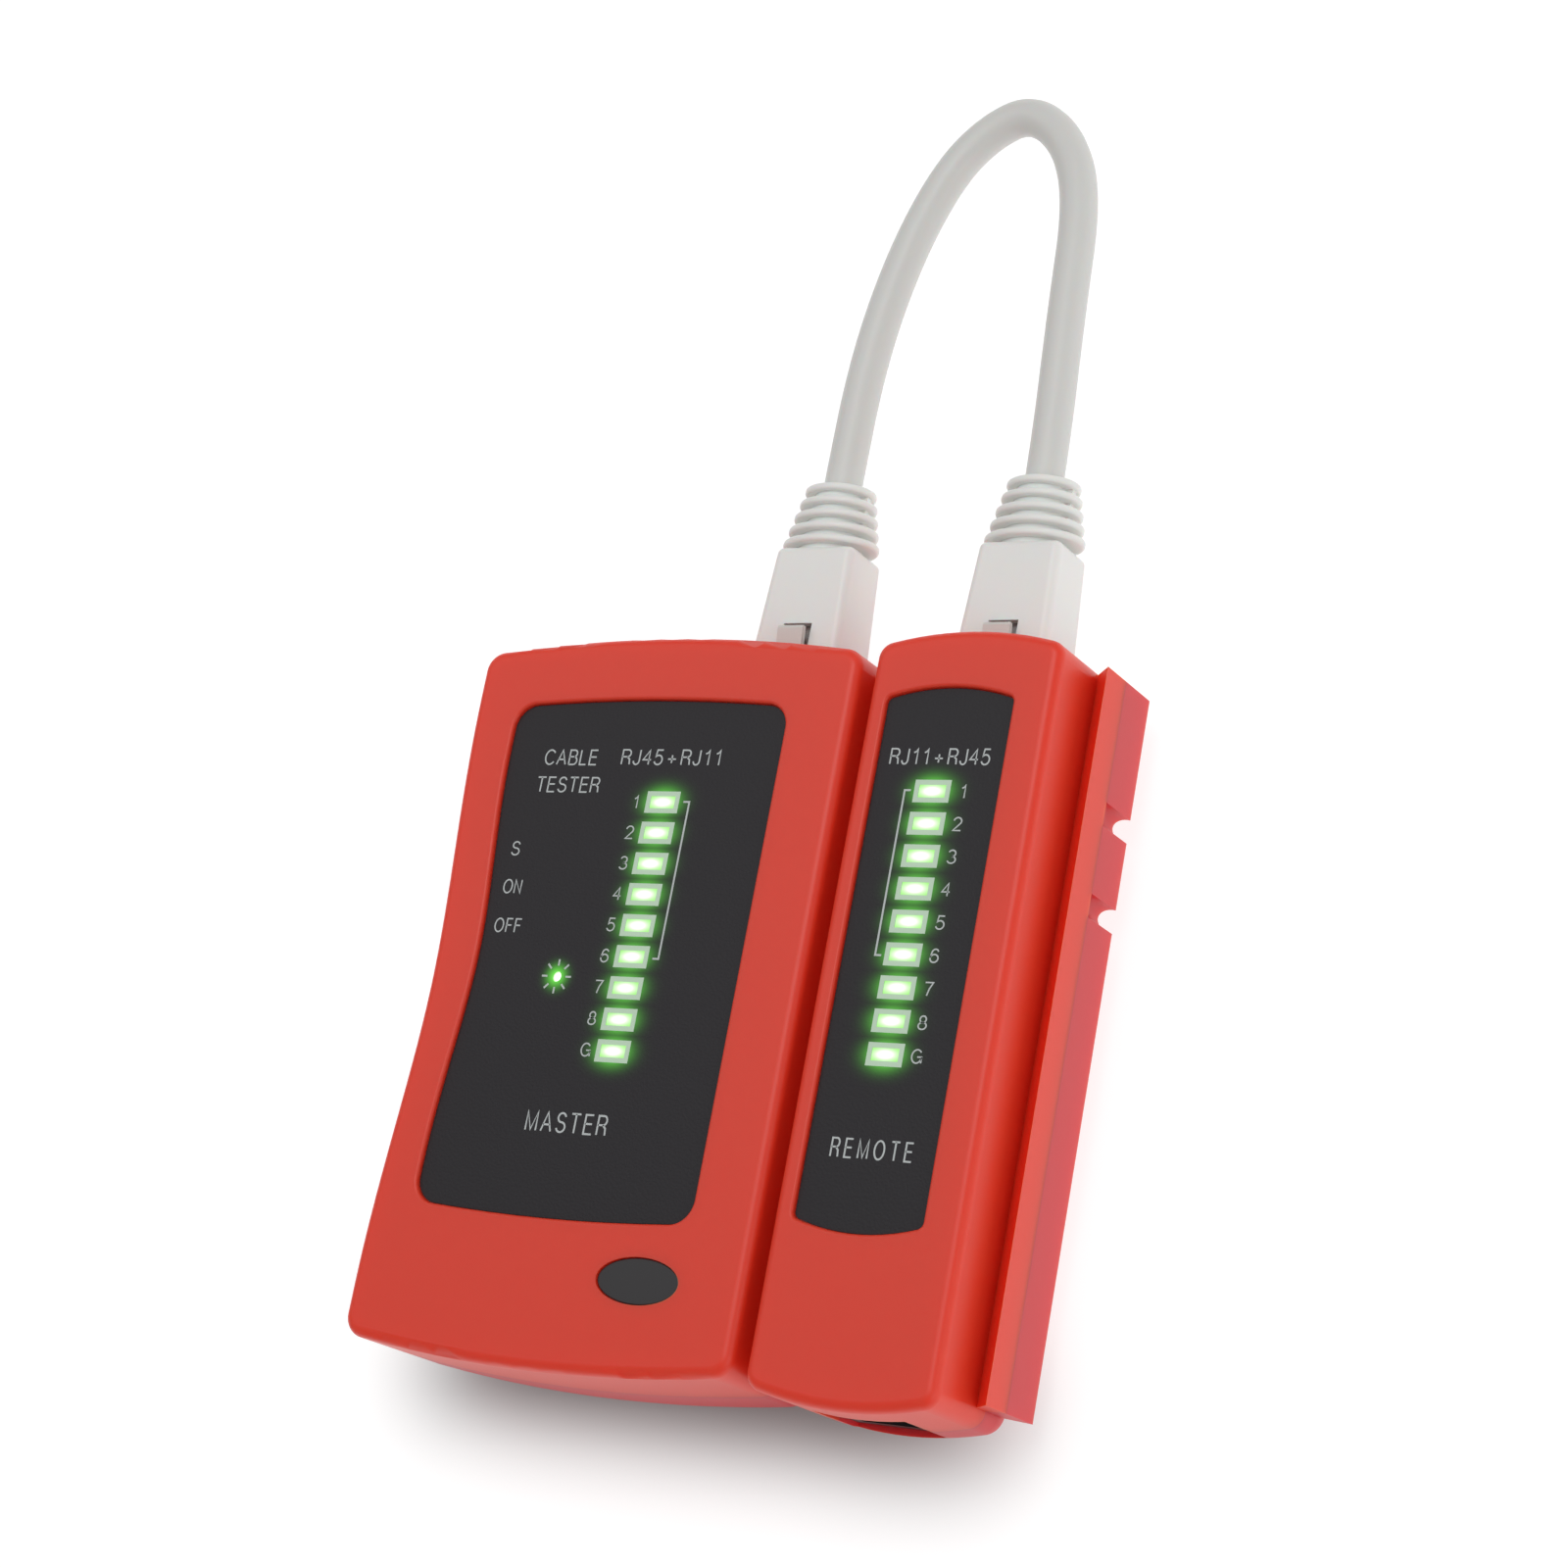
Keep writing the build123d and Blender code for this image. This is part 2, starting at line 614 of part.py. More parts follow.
def battery_snap():
    """Moulded snap over the battery's two terminals."""
    middle_x = sum(BATTERY_X) / 2
    middle_z = sum(BATTERY_Z) / 2
    y = (BATTERY_Y[1] + 0.3, BATTERY_Y[1] + 4.4)
    snap = block((middle_x - 12.8, middle_x + 12.8), y, (middle_z - 6.0, middle_z + 6.0))
    snap = fillet(snap.edges().filter_by(Axis.Y), 4.0)
    for side, radius in ((-1, 2.8), (1, 3.8)):
        snap -= rod_y(middle_x + side * 6.35, (y[0] - 1, BATTERY_Y[1] + 2.8), middle_z, radius + 0.05)
    return snap


def battery_leads():
    """Two insulated wires from the snap up to the board."""
    start_y = BATTERY_Y[1] + 4.4
    leads = []
    for x in (-21.0, -17.5):
        riser = (x + 1.0, start_y + 6.5)
        route = ((x, start_y, 10.65), (x, start_y + 4.0, 10.65), (*riser, 15.0), (*riser, BOARD_Z[0]))
        leads.append(tube(route, 0.65, (1.5, 1.5)))
    return leads


def tube(route, radius, radii):
    """Round tube along straight runs joined by tangent arcs."""
    path = FilletPolyline(*route, radius=radii)
    direction = Vector(*route[1]) - Vector(*route[0])
    profile = Plane(origin=route[0], z_dir=direction) * Circle(radius)
    return sweep(profile, path=path)


# ---------------------------------------------------------------- patch cord
def corner_radii(route):
    """Arc radius at each inner point: as large as its two runs allow."""
    points = [Vector(*point) for point in route]
    radii = []
    for before, here, after in zip(points, points[1:], points[2:]):
        shorter = min((here - before).length, (after - here).length)
        turn = math.radians((here - before).get_angle(after - here))
        radii.append(RUN_SHARE * shorter / math.tan(turn / 2))
    return radii


def patch_cable():
    return tube(CABLE_ROUTE, CABLE_DIAMETER / 2, corner_radii(CABLE_ROUTE))


def plug(x):
    """Clear 8-way plug body with its contact slots on the side away from the latch."""
    z = (PLUG_Z - PLUG_HEIGHT / 2, PLUG_Z + PLUG_HEIGHT / 2)
    body = centred(x, sum(PLUG_Y) / 2, PLUG_WIDTH, PLUG_Y[1] - PLUG_Y[0], z)
    body = chamfer(body.edges().filter_by(Axis.X).group_by(Axis.Y)[0], 0.4)
    for slot_x in contact_places(x):
        slot = (slot_x - 0.28, slot_x + 0.28)
        body -= block(slot, (PLUG_Y[0] - 1, PLUG_Y[0] + 6.2), (z[0] - 1, z[0] + 2.4))
    return body


def contact_places(x):
    return [x + (index - 3.5) * 1.02 for index in range(8)]


def plug_contacts(x):
    """Eight gold blades that fill the inner part of the plug's slots."""
    low = PLUG_Z - PLUG_HEIGHT / 2
    return [
        block((place - 0.2, place + 0.2), (PLUG_Y[0] + 0.5, PLUG_Y[0] + 6.0), (low + 0.5, low + 2.4))
        for place in contact_places(x)
    ]


def latch(x):
    """Lever that rises from the plug's nose: wide shoulders, then a narrow finger tab."""
    root = (PLUG_Y[0] + 0.4, PLUG_Z + PLUG_HEIGHT / 2 + 0.12)
    points = (
        (root[0], root[1]),
        (root[0] + 1.6, root[1]),
        (55.0, 18.75),
        (55.0, 19.35),
        (54.6, 19.55),
        (47.0, 18.35),
        (root[0], root[1] + 0.75),
    )
    side = Plane.YZ * make_face(Polyline(*points, close=True))
    lever = Pos(x - 3.0, 0, 0) * extrude(side, amount=6.0)
    for sign in (-1, 1):
        lever -= centred(x + sign * 3.5, 53.5, 3.0, 12.0, (0, DEPTH))
    return lever


def ring_width(index):
    return 14.7 - 1.0 * index


def ring_height(index):
    return 9.7 - 0.35 * index


def cross_plane(x, y):
    """Plane across the plug's axis at one station, facing +Y."""
    return Plane(origin=(x, y, PLUG_Z), x_dir=(1, 0, 0), z_dir=(0, 1, 0))


def boot(x):
    """Boot: tapered box over the plug's tail, tapered core, five oval ribs and side webs."""
    base = RectangleRounded(*BOOT_BASE, 1.2)
    shoulder = RectangleRounded(*BOOT_SHOULDER, 1.2)
    body = loft([cross_plane(x, BOOT_Y[0]) * base, cross_plane(x, BOOT_Y[1]) * shoulder])
    body = fillet(body.edges().group_by(Axis.Y)[-1], 0.9)
    first = BOOT_Y[1] - 0.4
    last = BOOT_Y[1] + RING_PITCH * RINGS
    body += loft([cross_plane(x, first) * Ellipse(5.0, 3.7), cross_plane(x, last) * Ellipse(3.5, 3.2)])
    for index in range(RINGS):
        plane = cross_plane(x, BOOT_Y[1] + 0.7 + RING_PITCH * index)
        ring = Ellipse(ring_width(index) / 2, ring_height(index) / 2)
        body += fillet(extrude(plane * ring, amount=RING_THICKNESS).edges(), 0.42)
    web = ring_width(RINGS - 1) / 2 - 0.6
    for sign in (-1, 1):
        outer = sorted((sign * 3.0, sign * web))
        body += block((x + outer[0], x + outer[1]), (first, last - 0.6), (PLUG_Z - 0.5, PLUG_Z + 0.5))
    half = (PLUG_WIDTH / 2 + 0.05, PLUG_HEIGHT / 2 + 0.05)
    tail = (BOOT_Y[0] - 1, PLUG_Y[1] + 0.1)
    body -= block((x - half[0], x + half[0]), tail, (PLUG_Z - half[1], PLUG_Z + half[1]))
    body -= block((x - 2.25, x + 2.25), (51, 55.9), (PLUG_Z, DEPTH))
    body -= rod_y(x, (59, 90), PLUG_Z, CABLE_DIAMETER / 2 + 0.15)
    return body


# ---------------------------------------------------------------- writing
def write(name, shape):
    solids = shape if isinstance(shape, list) else [shape]
    found = [solid for piece in solids for solid in piece.solids()]
    export_step(Compound(found), f"parts/{name}.step")


def write_leds(prefix, places):
    for name, place in zip(LED_NAMES, places):
        write(f"{prefix}_led_{name}", led(*place))


def write_master():
    write("master_front_shell", master_front_shell())
    write("master_rear_shell", master_rear_shell())
    write("master_label", master_label())
    write("master_badge", master_badge())
    board = circuit_board((-42.9, 11.6), (-12.0, 38.6), MASTER_BOARD_SCREWS, ())
    write("master_circuit_board", board)
    write_leds("master", MASTER_LEDS)
    write("power_led", power_led())
    port = (MASTER_PORT_X, PORT_FACE_Y, 1, 8)
    write("master_rj45_jack", cut_all(jack_8(MASTER_PORT_X), wire_slots(*port)))
    write("master_rj45_contacts", jack_contacts(*port))
    phone = (MASTER_PHONE_PORT_X, PORT_FACE_Y, 1, 6)
    write("master_rj11_jack", cut_all(jack_6(*phone[:3]), wire_slots(*phone)))
    write("master_rj11_contacts", jack_contacts(*phone))
    write("power_switch_frame", power_switch_frame())
    write("power_switch_knob", power_switch_knob())
    write("battery", battery())
    write("battery_snap", battery_snap())
    write("battery_leads", battery_leads())
    write("battery_door", battery_door())
    write("sequencer_chip", dip_chip(-5.0, 18.0, 19.3, 16))
    write("timer_chip", dip_chip(-28.0, 20.0, 9.5, 8))
    places = [(7.0, 8.0 + 4.0 * index) for index in range(5)]
    write("master_resistors", axial_parts(places, 1.1, 5.0))
    case_screws = screws(MASTER_SCREWS, COUNTERBORE_TOP_Z, 19.5, SCREW_HEAD_RADIUS, SCREW_SHANK_RADIUS)
    write("master_case_screws", case_screws)
    write("master_board_screws", screws(MASTER_BOARD_SCREWS, BOARD_Z[0], 23.0, 1.8, 0.8, 1.3))


def write_remote():
    write("remote_front_shell", remote_front_shell())
    write("remote_rear_shell", remote_rear_shell())
    write("remote_label", remote_label())
    board = circuit_board((19.6, 41.7), (-38.5, 38.6), REMOTE_BOARD_SCREWS, REMOTE_SCREWS)
    write("remote_circuit_board", board)
    write_leds("remote", REMOTE_LEDS)
    port = (REMOTE_PORT_X, PORT_FACE_Y, 1, 8)
    write("remote_rj45_jack", cut_all(jack_8(REMOTE_PORT_X), wire_slots(*port)))
    write("remote_rj45_contacts", jack_contacts(*port))
    phone = (REMOTE_MID_X, -PORT_FACE_Y, -1, 6)
    write("remote_rj11_jack", cut_all(jack_6(*phone[:3]), wire_slots(*phone)))
    write("remote_rj11_contacts", jack_contacts(*phone))
    places = [(28.4, 22.0 - 4.2 * index) for index in range(9)]
    write("remote_diodes", axial_parts(places, 1.0, 4.4))
    case_screws = screws(REMOTE_SCREWS, COUNTERBORE_TOP_Z, 19.5, SCREW_HEAD_RADIUS, SCREW_SHANK_RADIUS)
    write("remote_case_screws", case_screws)
    write("remote_board_screws", screws(REMOTE_BOARD_SCREWS, BOARD_Z[0], 23.0, 1.8, 0.8, 1.3))


def write_patch_cord():
    cable = patch_cable()
    write("patch_cable", cable)
    for end, x in (("master", MASTER_PORT_X), ("remote", REMOTE_PORT_X)):
        write(f"{end}_end_boot", boot(x))
        write(f"{end}_end_plug", plug(x))
        write(f"{end}_end_plug_contacts", plug_contacts(x))
        write(f"{end}_end_latch", latch(x))
    path = FilletPolyline(*CABLE_ROUTE, radius=corner_radii(CABLE_ROUTE))
    section = math.pi * CABLE_DIAMETER**2 / 4
    print("cable radii", [round(radius, 1) for radius in corner_radii(CABLE_ROUTE)])
    print("cable length", round(path.length, 1))
    print("cable volume", round(cable.volume), "expected", round(section * path.length))


os.makedirs("parts", exist_ok=True)
write_master()
write_remote()
write_patch_cord()
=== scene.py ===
import json
import math

import bpy
from mathutils import Matrix, Vector


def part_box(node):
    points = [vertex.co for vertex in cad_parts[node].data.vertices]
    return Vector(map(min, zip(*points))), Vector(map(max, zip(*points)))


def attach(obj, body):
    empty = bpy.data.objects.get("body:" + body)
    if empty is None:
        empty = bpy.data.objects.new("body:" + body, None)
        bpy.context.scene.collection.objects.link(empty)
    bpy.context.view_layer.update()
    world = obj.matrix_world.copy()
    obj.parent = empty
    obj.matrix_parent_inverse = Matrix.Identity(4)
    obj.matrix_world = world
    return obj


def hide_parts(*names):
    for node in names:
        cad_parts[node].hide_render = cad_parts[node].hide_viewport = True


# Looks of the network cable tester. Metres, in the CAD model's own frame: the tester lies on its
# back, +Z is out of its face, +Y is towards the plugs and +X is from the main unit to the remote.
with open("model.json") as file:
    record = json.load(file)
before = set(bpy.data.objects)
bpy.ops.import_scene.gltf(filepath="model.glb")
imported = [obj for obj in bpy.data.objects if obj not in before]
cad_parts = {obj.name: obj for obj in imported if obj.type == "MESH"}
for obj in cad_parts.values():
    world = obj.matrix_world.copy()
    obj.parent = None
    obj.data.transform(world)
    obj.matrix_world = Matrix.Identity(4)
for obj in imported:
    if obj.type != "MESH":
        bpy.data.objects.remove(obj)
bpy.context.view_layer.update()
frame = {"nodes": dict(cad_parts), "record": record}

MM = 0.001

# Camera: where it stands, the point that it looks at, and the direction that is up in its picture.
CAMERA_PLACE = (0.2532, -0.0976, 0.4034)
CAMERA_TARGET = (0.0064, 0.0297, 0.0260)
CAMERA_UP = (-0.2118, 1.0, 0.0)
CAMERA_LENS = 81.0
CAMERA_SENSOR = 36.0

# Printed legends: text, the gap between its letters as a part of their height, the width of its
# strokes, then left, right, bottom and top, in millimetres.
MASTER_LEGENDS = (
    ("CABLE", 0.26, 0.22, -33.8, -25.1, 32.4, 34.5),
    ("TESTER", 0.26, 0.22, -34.3, -23.9, 28.4, 30.5),
    ("RJ45+RJ11", 0.26, 0.22, -20.9, -5.0, 32.5, 34.6),
    ("S", 0.26, 0.2, -36.2, -35.0, 19.1, 21.0),
    ("ON", 0.26, 0.2, -36.3, -33.4, 13.6, 15.5),
    ("OFF", 0.3, 0.2, -36.4, -32.1, 8.0, 9.9),
    ("MASTER", 0.36, 0.26, -24.4, -11.5, -19.3, -16.7),
)
REMOTE_LEGENDS = (
    ("RJ11+RJ45", 0.26, 0.22, 21.6, 36.3, 32.9, 35.0),
    ("REMOTE", 0.52, 0.24, 23.3, 35.1, -19.7, -17.3),
)
LED_LEGENDS = ("1", "2", "3", "4", "5", "6", "7", "8", "G")
LED_NODES = ("1", "2", "3", "4", "5", "6", "7", "8", "g")
LED_LEGEND_SIZE = (1.15 * MM, 1.75 * MM)
LED_LEGEND_STROKE = 0.2 * MM
LED_LEGEND_GAP = 0.24
LED_LEGEND_WIDTHS = {"1": 0.42, "G": 1.25}
MASTER_LEGEND_X = -17.2 * MM
REMOTE_LEGEND_X = 33.3 * MM
BRACKET_WIDTH = 0.27 * MM
RAY_COUNT = 8
RAY_REACH = (1.5 * MM, 2.4 * MM)

# Bracket beside the first six indicators: x of its spine, x of its ticks' tips, lowest and highest y.
MASTER_BRACKET = (-8.5 * MM, -9.45 * MM, 5.1 * MM, 27.2 * MM)
REMOTE_BRACKET = (24.6 * MM, 25.5 * MM, 6.9 * MM, 29.3 * MM)

# Printed border and clear window of each indicator.
BORDER_OUTER = (5.37 * MM, 3.08 * MM)
WINDOW = (3.95 * MM, 1.75 * MM)
BORDER_WIDTH = 0.69 * MM
WINDOW_GAP = 0.01 * MM
WINDOW_DEPTH = 0.3 * MM
INK_THICKNESS = 0.03 * MM
MITRE_LIMIT = 0.55

# Light of the lamps: half widths of the green glow painted on the labels around them and of the white
# core, and their colours.
HALO_REACH = (2.5 * MM, 1.75 * MM)
POWER_HALO_REACH = (1.35 * MM, 1.35 * MM)
HALO_COLOUR = (0.11, 0.60, 0.045)
CORE_REACH = (1.5 * MM, 0.66 * MM)
POWER_CORE_REACH = (0.62 * MM, 0.62 * MM)
CORE_GAIN = 1.5
CORE_COLOUR = (1.0, 1.0, 0.96)
LAMP_EDGE_COLOUR = (0.27, 0.60, 0.13)

# The patch cable's route, as the CAD model has it, in millimetres.
MASTER_PORT_X = -1.65
REMOTE_PORT_X = 30.45
CABLE_ROUTE = (
    (MASTER_PORT_X, 59.6, 13.1),
    (MASTER_PORT_X, 79.0, 13.1),
    (-1.5, 98.0, 12.9),
    (1.1, 114.3, 12.5),
    (5.6, 127.0, 12.1),
    (10.9, 133.4, 11.8),
    (17.2, 136.2, 11.6),
    (23.9, 131.1, 11.6),
    (27.9, 121.3, 11.9),
    (28.9, 103.0, 12.6),
    (REMOTE_PORT_X, 80.0, 13.1),
    (REMOTE_PORT_X, 59.6, 13.1),
)
CABLE_DIAMETER = 5.4 * MM

# Studio: each light's place, size and power, the brightness all around, and the floor.
LIGHTS = {
    "face_softbox": ((-0.62, 0.35, 0.95), (0.7, 0.7), 1.4),
    "key": ((0.18, 0.4, 1.2), (0.7, 0.7), 5.0),
    "side_fill": ((1.1, -0.3, 0.5), (0.8, 0.6), 2.5),
}
LIGHT_TARGET = (0, 0, 0.02)
SURROUND_STRENGTH = 0.36
FLOOR_SIZE = 40.0
FLOOR_COLOUR = (0.3, 0.3, 0.3)
FLOOR_GLOW = 0.84

# Contact shadow painted into the floor's glow along the tester's bottom end: centre, half widths, depth.
SHADOW_PLACE = (-0.006, -0.0475)
SHADOW_REACH = (0.048, 0.0105)
SHADOW_FLATNESS = 6.0
SHADOW_DEPTH = 0.9


# ---------------------------------------------------------------- shader helpers
def new_material(name):
    """A material and its node tree, with the Principled shader under the name 'surface'."""
    material = bpy.data.materials.new(name)
    material.use_nodes = True
    shader = material.node_tree.nodes["Principled BSDF"]
    shader.name = "surface"
    return material


def set_inputs(material, **values):
    """Sets the shader's own sockets; an underscore in a name stands for a space."""
    shader = material.node_tree.nodes["surface"]
    for name, value in values.items():
        shader.inputs[name.replace("_", " ")].default_value = value


def calc(tree, operation, *values):
    """Output of one maths node; each value is a number or another node's output."""
    node = tree.nodes.new("ShaderNodeMath")
    node.operation = operation
    for socket, value in zip(node.inputs, values):
        if isinstance(value, (int, float)):
            socket.default_value = value
        else:
            tree.links.new(value, socket)
    return node.outputs[0]


def place_in_object(tree):
    """The shaded point's x and y in metres."""
    coordinates = tree.nodes.new("ShaderNodeTexCoord")
    split = tree.nodes.new("ShaderNodeSeparateXYZ")
    tree.links.new(coordinates.outputs["Object"], split.inputs[0])
    return split.outputs["X"], split.outputs["Y"]


def column_offset(tree, x, y, column):
    """Distances along x and y from the shaded point to the nearest lamp of a column."""
    lamp_x, first_y, pitch, count = column
    across = calc(tree, "SUBTRACT", x, lamp_x)
    steps = calc(tree, "DIVIDE", calc(tree, "SUBTRACT", first_y, y), pitch)
    nearest = calc(tree, "MINIMUM", calc(tree, "MAXIMUM", calc(tree, "ROUND", steps), 0.0), count - 1.0)
    along = calc(tree, "MULTIPLY", calc(tree, "SUBTRACT", steps, nearest), pitch)
    return across, along


def bell(tree, across, along, width, height, flatness=2.0):
    """1 at the centre, falling off over these half widths; a high flatness squares it along x."""
    u = calc(tree, "POWER", calc(tree, "ABSOLUTE", calc(tree, "DIVIDE", across, width)), flatness)
    v = calc(tree, "POWER", calc(tree, "ABSOLUTE", calc(tree, "DIVIDE", along, height)), 2.0)
    total = calc(tree, "MULTIPLY", calc(tree, "ADD", u, v), -1.0)
    return calc(tree, "EXPONENT", total)


def add_bump(material, scale, strength, distance, detail=4.0):
    """Fine moulded or printed grain."""
    tree = material.node_tree
    coordinates = tree.nodes.new("ShaderNodeTexCoord")
    noise = tree.nodes.new("ShaderNodeTexNoise")
    noise.inputs["Scale"].default_value = scale
    noise.inputs["Detail"].default_value = detail
    bump = tree.nodes.new("ShaderNodeBump")
    bump.inputs["Strength"].default_value = strength
    bump.inputs["Distance"].default_value = distance
    tree.links.new(coordinates.outputs["Object"], noise.inputs["Vector"])
    tree.links.new(noise.outputs["Fac"], bump.inputs["Height"])
    tree.links.new(bump.outputs["Normal"], tree.nodes["surface"].inputs["Normal"])


def mix_colour(tree, factor, low, high):
    """Colour between two colours by a factor that varies over the surface."""
    node = tree.nodes.new("ShaderNodeMix")
    node.data_type = "RGBA"
    tree.links.new(factor, node.inputs["Factor"])
    node.inputs[6].default_value = (*low, 1.0)
    node.inputs[7].default_value = (*high, 1.0)
    return node.outputs[2]


# ---------------------------------------------------------------- the indicator columns
def led_column(unit):
    """(x, first y, pitch, count) of a unit's nine lamps, from the CAD nodes."""
    centres = []
    for name in LED_NODES:
        low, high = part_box(f"{unit}_led_{name}")
        centres.append((low + high) / 2)
    pitch = (centres[0].y - centres[-1].y) / (len(centres) - 1)
    return centres[0].x, centres[0].y, pitch, len(centres)


MASTER_COLUMN = led_column("master")
REMOTE_COLUMN = led_column("remote")
power_low, power_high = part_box("power_led")
POWER_LAMP = (power_low + power_high) / 2
LABEL_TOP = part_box("master_label")[1].z
POWER_COLUMN = (POWER_LAMP.x, POWER_LAMP.y, 1.0, 1)


def halo(tree, x, y):
    """Strength of the green glow painted over the labels around the lamps."""
    total = 0.0
    for column, reach in (
        (MASTER_COLUMN, HALO_REACH),
        (REMOTE_COLUMN, HALO_REACH),
        (POWER_COLUMN, POWER_HALO_REACH),
    ):
        across, along = column_offset(tree, x, y, column)
        total = calc(tree, "ADD", bell(tree, across, along, *reach), total)
    return total


def add_halo(material, gain):
    """Painted green glow around the lamps, as emission of a printed surface."""
    tree = material.node_tree
    x, y = place_in_object(tree)
    strength = calc(tree, "MULTIPLY", halo(tree, x, y), gain)
    shader = tree.nodes["surface"]
    shader.inputs["Emission Color"].default_value = (*HALO_COLOUR, 1.0)
    tree.links.new(strength, shader.inputs["Emission Strength"])


# ---------------------------------------------------------------- materials
def case_plastic(name, colour):
    """Red moulded plastic with a fine grain; light goes a little way into it."""
    material = new_material(name)
    set_inputs(material, Base_Color=(*colour, 1), Roughness=0.42, IOR=1.5)
    set_inputs(material, Subsurface_Weight=0.5, Subsurface_Scale=0.004)
    set_inputs(material, Subsurface_Radius=(1.0, 0.35, 0.2))
    add_bump(material, 1400.0, 0.10, 0.0001)
    return material


def label_film():
    """Dark, finely textured film with the lamps' green glow painted on it."""
    material = new_material("label_film")
    set_inputs(material, Base_Color=(0.0145, 0.0125, 0.0155, 1), Roughness=0.5, IOR=1.45)
    set_inputs(material, Specular_IOR_Level=0.4)
    add_bump(material, 2600.0, 0.45, 0.00012, 2.0)
    add_halo(material, 1.45)
    return material


def ink():
    """Pale grey print of the legends, with a faint green glow of the lamps painted on it."""
    material = new_material("ink")
    set_inputs(material, Base_Color=(0.52, 0.55, 0.55, 1), Roughness=0.5)
    add_halo(material, 0.16)
    return material


def border_ink():
    """Pale green print around each window, with a faint green glow of the lamps painted on it."""
    material = new_material("border_ink")
    set_inputs(material, Base_Color=(0.56, 0.70, 0.56, 1), Roughness=0.5)
    add_halo(material, 0.13)
    return material


def lamp_window(name, columns, reach, strength):
    """Lit lamp: white core that falls off to green at the window's edge."""
    material = new_material(name)
    tree = material.node_tree
    x, y = place_in_object(tree)
    core = 0.0
    for column in columns:
        across, along = column_offset(tree, x, y, column)
        core = calc(tree, "ADD", bell(tree, across, along, *reach), core)
    core = calc(tree, "MINIMUM", calc(tree, "MULTIPLY", core, CORE_GAIN), 1.0)
    colour = mix_colour(tree, core, LAMP_EDGE_COLOUR, CORE_COLOUR)
    tree.links.new(colour, tree.nodes["surface"].inputs["Emission Color"])
    set_inputs(material, Base_Color=(0.05, 0.3, 0.03, 1), Roughness=0.35, Emission_Strength=strength)
    return material


def plain(name, colour, roughness, **values):
    """A material of one colour; extra values set its other sockets."""
    material = new_material(name)
    set_inputs(material, Base_Color=(*colour, 1), Roughness=roughness, **values)
    return material


def soft_plastic(name, colour, roughness, grain):
    """Soft moulded plastic with a grain of this scale."""
    material = plain(name, colour, roughness, Subsurface_Weight=0.2, Subsurface_Scale=0.002)
    add_bump(material, grain, 0.12, 0.0001)
    return material


def build_materials():
    """One for each slot in the record, and those of the inks, rear shells, levers and power lamp."""
    return {
        "case_plastic": case_plastic("case_plastic", (0.80, 0.044, 0.016)),
        "rear_case_plastic": case_plastic("rear_case_plastic", (0.66, 0.03, 0.038)),
        "label_film": label_film(),
        "badge_plastic": plain("badge_plastic", (0.018, 0.016, 0.018), 0.4),
        "board": plain("board", (0.02, 0.2, 0.07), 0.4),
        "led_lens": lamp_window("led_lens", (MASTER_COLUMN, REMOTE_COLUMN), CORE_REACH, 1.1),
        "jack_plastic": plain("jack_plastic", (0.02, 0.02, 0.021), 0.35),
        "gold_contact": plain("gold_contact", (0.83, 0.6, 0.2), 0.25, Metallic=1.0),
        "switch_metal": plain("switch_metal", (0.6, 0.6, 0.62), 0.35, Metallic=1.0),
        "knob_plastic": plain("knob_plastic", (0.02, 0.02, 0.02), 0.45),
        "battery_case": plain("battery_case", (0.05, 0.055, 0.07), 0.35, Metallic=0.3),
        "snap_plastic": plain("snap_plastic", (0.02, 0.02, 0.02), 0.5),
        "lead_insulation": plain("lead_insulation", (0.5, 0.02, 0.02), 0.45),
        "chip_epoxy": plain("chip_epoxy", (0.02, 0.02, 0.021), 0.5),
        "component": plain("component", (0.6, 0.48, 0.3), 0.4),
        "screw_steel": plain("screw_steel", (0.55, 0.55, 0.57), 0.3, Metallic=1.0),
        "cable_jacket": soft_plastic("cable_jacket", (0.68, 0.68, 0.655), 0.42, 900.0),
        "boot_rubber": soft_plastic("boot_rubber", (0.85, 0.855, 0.83), 0.42, 1100.0),
        "clear_plug": plain("clear_plug", (0.88, 0.88, 0.86), 0.2, Transmission_Weight=0.8, IOR=1.5),
        "frosted_lever": plain("frosted_lever", (0.8, 0.79, 0.75), 0.35, Transmission_Weight=0.2, IOR=1.5),
        "ink": ink(),
        "border_ink": border_ink(),
        "power_lamp": lamp_window("power_lamp", (POWER_COLUMN,), POWER_CORE_REACH, 1.4),
    }


MATERIALS = build_materials()


def dress_cad_nodes():
    """Gives every CAD node the material of its slot in the record."""
    slots = {part["node"]: part["material_slot"] for part in frame["record"]["subparts"]}
    for name, node in frame["nodes"].items():
        node.data.materials.clear()
        node.data.materials.append(MATERIALS[slots[name]])
    frame["nodes"]["power_led"].data.materials[0] = MATERIALS["power_lamp"]
    for name in ("master_rear_shell", "remote_rear_shell", "battery_door"):
        frame["nodes"][name].data.materials[0] = MATERIALS["rear_case_plastic"]
    for end in ("master", "remote"):
        frame["nodes"][f"{end}_end_latch"].data.materials[0] = MATERIALS["frosted_lever"]


# ---------------------------------------------------------------- line lettering
ARC_STEP = 12


def arc(x, y, radius_x, radius_y, start, end):
    """Points along part of an ellipse, from one angle to another in degrees."""
    steps = max(2, round(abs(end - start) / ARC_STEP))
    angles = [math.radians(start + (end - start) * index / steps) for index in range(steps + 1)]
    return [(x + radius_x * math.cos(angle), y + radius_y * math.sin(angle)) for angle in angles]


def ring(x, y, radius_x, radius_y):
    """Points around a whole ellipse; the last one stops short of the first."""
    return arc(x, y, radius_x, radius_y, 0, 360 - ARC_STEP)


